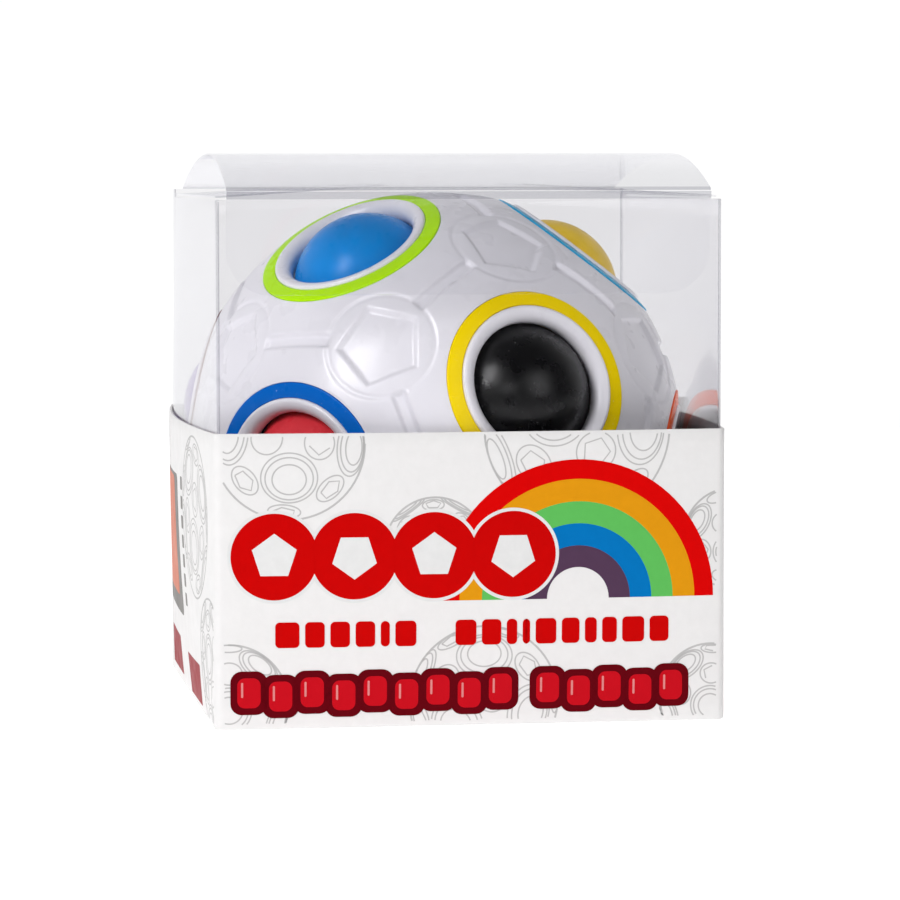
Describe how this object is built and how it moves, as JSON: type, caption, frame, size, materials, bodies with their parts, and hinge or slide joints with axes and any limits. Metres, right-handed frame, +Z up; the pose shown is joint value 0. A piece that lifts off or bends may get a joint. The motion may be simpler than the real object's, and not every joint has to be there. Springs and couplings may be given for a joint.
{
  "type": "ball-and-hole brain teaser in a display pack",
  "caption": "Hollow white ball with ringed round holes that hold small coloured push balls, in a clear box with an arched lid and a printed card tray.",
  "frame": {"origin": "centre of the base of the card tray, on the surface that the pack stands on", "axes": "+Z up, +X to the right of the pack seen from its front, -Y out of the front face"},
  "size_m": [0.073, 0.073, 0.0762],
  "materials": {
    "card": "printed satin card",
    "clear_sheet": "clear gloss",
    "shell": "gloss",
    "foam": "open-cell foam",
    "ring_yellow": "satin gloss",
    "ring_orange": "satin gloss",
    "ring_light_blue": "satin gloss",
    "ring_lime": "satin gloss",
    "ring_blue": "satin gloss",
    "ring_red": "satin gloss",
    "ring_purple": "satin gloss",
    "ring_pink": "satin gloss",
    "ring_maroon": "satin gloss",
    "ring_green": "satin gloss",
    "ring_turquoise": "satin gloss",
    "ring_black": "satin gloss",
    "ball_black": "satin rubber",
    "ball_maroon": "satin rubber",
    "ball_yellow": "satin rubber",
    "ball_sky_blue": "satin rubber",
    "ball_red": "satin rubber",
    "ball_lime": "satin rubber",
    "ball_orange": "satin rubber",
    "ball_purple": "satin rubber",
    "ball_pink": "satin rubber",
    "ball_turquoise": "satin rubber",
    "ball_green": "satin rubber"
  },
  "bodies": {
    "card_tray": {"card_tray": "card"},
    "clear_box": {"clear_box": "clear_sheet"},
    "lid": {"lid_panel": "clear_sheet"},
    "tuck_flap": {"tuck_flap": "clear_sheet"},
    "dust_flap_left": {"dust_flap_left": "clear_sheet"},
    "dust_flap_right": {"dust_flap_right": "clear_sheet"},
    "puzzle": {"shell_front_half": "shell", "shell_back_half": "shell", "soft_core": "foam", "ring_yellow": "ring_yellow", "ring_orange": "ring_orange", "ring_light_blue": "ring_light_blue", "ring_lime": "ring_lime", "ring_blue": "ring_blue", "ring_red": "ring_red", "ring_purple": "ring_purple", "ring_pink": "ring_pink", "ring_maroon": "ring_maroon", "ring_green": "ring_green", "ring_turquoise": "ring_turquoise", "ring_black": "ring_black"},
    "ball_black": {"ball_black": "ball_black"},
    "ball_maroon": {"ball_maroon": "ball_maroon"},
    "ball_yellow": {"ball_yellow": "ball_yellow"},
    "ball_sky_blue": {"ball_sky_blue": "ball_sky_blue"},
    "ball_red": {"ball_red": "ball_red"},
    "ball_lime": {"ball_lime": "ball_lime"},
    "ball_orange": {"ball_orange": "ball_orange"},
    "ball_purple": {"ball_purple": "ball_purple"},
    "ball_pink": {"ball_pink": "ball_pink"},
    "ball_turquoise": {"ball_turquoise": "ball_turquoise"},
    "ball_green": {"ball_green": "ball_green"}
  },
  "joints": [
    {"name": "box_lift", "type": "slide", "parent": "card_tray", "child": "clear_box", "axis": [0, 0, 1], "range_m": [0, 0.045]},
    {"name": "lid_crease", "type": "hinge", "parent": "clear_box", "child": "lid", "pos_m": [0, 0.03427, 0.0713], "axis": [-1, 0, 0], "range_deg": [0, 110]},
    {"name": "tuck_crease", "type": "hinge", "parent": "lid", "child": "tuck_flap", "pos_m": [0, -0.03427, 0.0713], "axis": [1, 0, 0], "range_deg": [0, 15]},
    {"name": "dust_crease_left", "type": "hinge", "parent": "clear_box", "child": "dust_flap_left", "pos_m": [-0.03365, 0, 0.07025], "axis": [0, -1, 0], "range_deg": [0, 100]},
    {"name": "dust_crease_right", "type": "hinge", "parent": "clear_box", "child": "dust_flap_right", "pos_m": [0.03365, 0, 0.07025], "axis": [0, 1, 0], "range_deg": [0, 100]},
    {"name": "puzzle_turn", "type": "hinge", "parent": "clear_box", "child": "puzzle", "pos_m": [0, 0, 0.03592], "axis": [0, 0, 1], "continuous": true},
    {"name": "ball_black_press", "type": "slide", "parent": "puzzle", "child": "ball_black", "axis": [-0.2888, 0.9158, -0.279], "range_m": [0, 0.0044], "stiffness_N_per_m": 400, "springref_m": -0.0006, "deforming": ["soft_core"]},
    {"name": "ball_maroon_press", "type": "slide", "parent": "puzzle", "child": "ball_maroon", "axis": [-0.9544, 0.241, 0.176], "range_m": [0, 0.0044], "stiffness_N_per_m": 400, "springref_m": -0.0006, "deforming": ["soft_core"]},
    {"name": "ball_yellow_press", "type": "slide", "parent": "puzzle", "child": "ball_yellow", "axis": [-0.6014, 0.0559, -0.797], "range_m": [0, 0.0044], "stiffness_N_per_m": 400, "springref_m": -0.0006, "deforming": ["soft_core"]},
    {"name": "ball_sky_blue_press", "type": "slide", "parent": "puzzle", "child": "ball_sky_blue", "axis": [0.4043, 0.3596, -0.841], "range_m": [0, 0.0044], "stiffness_N_per_m": 400, "springref_m": -0.0006, "deforming": ["soft_core"]},
    {"name": "ball_red_press", "type": "slide", "parent": "puzzle", "child": "ball_red", "axis": [0.6728, 0.7324, 0.1048], "range_m": [0, 0.0044], "stiffness_N_per_m": 400, "springref_m": -0.0006, "deforming": ["soft_core"]},
    {"name": "ball_lime_press", "type": "slide", "parent": "puzzle", "child": "ball_lime", "axis": [-0.1669, 0.6591, 0.7333], "range_m": [0, 0.0044], "stiffness_N_per_m": 400, "springref_m": -0.0006, "deforming": ["soft_core"]},
    {"name": "ball_orange_to_empty_hole", "type": "hinge", "parent": "puzzle", "child": "ball_orange", "pos_m": [0.01071, 0.02944, 0.05365], "axis": [-0.5232, 0.5712, -0.6324], "range_deg": [0, 85.93], "deforming": ["soft_core"]},
    {"name": "ball_purple_press", "type": "slide", "parent": "puzzle", "child": "ball_purple", "axis": [0.9544, -0.241, -0.176], "range_m": [0, 0.0044], "stiffness_N_per_m": 400, "springref_m": -0.0006, "deforming": ["soft_core"]},
    {"name": "ball_pink_press", "type": "slide", "parent": "puzzle", "child": "ball_pink", "axis": [0.6014, -0.0559, 0.797], "range_m": [0, 0.0044], "stiffness_N_per_m": 400, "springref_m": -0.0006, "deforming": ["soft_core"]},
    {"name": "ball_turquoise_press", "type": "slide", "parent": "puzzle", "child": "ball_turquoise", "axis": [-0.4043, -0.3596, 0.841], "range_m": [0, 0.0044], "stiffness_N_per_m": 400, "springref_m": -0.0006, "deforming": ["soft_core"]},
    {"name": "ball_green_press", "type": "slide", "parent": "puzzle", "child": "ball_green", "axis": [0.2888, -0.9158, 0.279], "range_m": [0, 0.0044], "stiffness_N_per_m": 400, "springref_m": -0.0006, "deforming": ["soft_core"]}
  ],
  "couplings": [
    {"joint": "dust_crease_left", "follows": "lid_crease", "ratio": 0.9},
    {"joint": "dust_crease_right", "follows": "lid_crease", "ratio": 0.9}
  ]
}
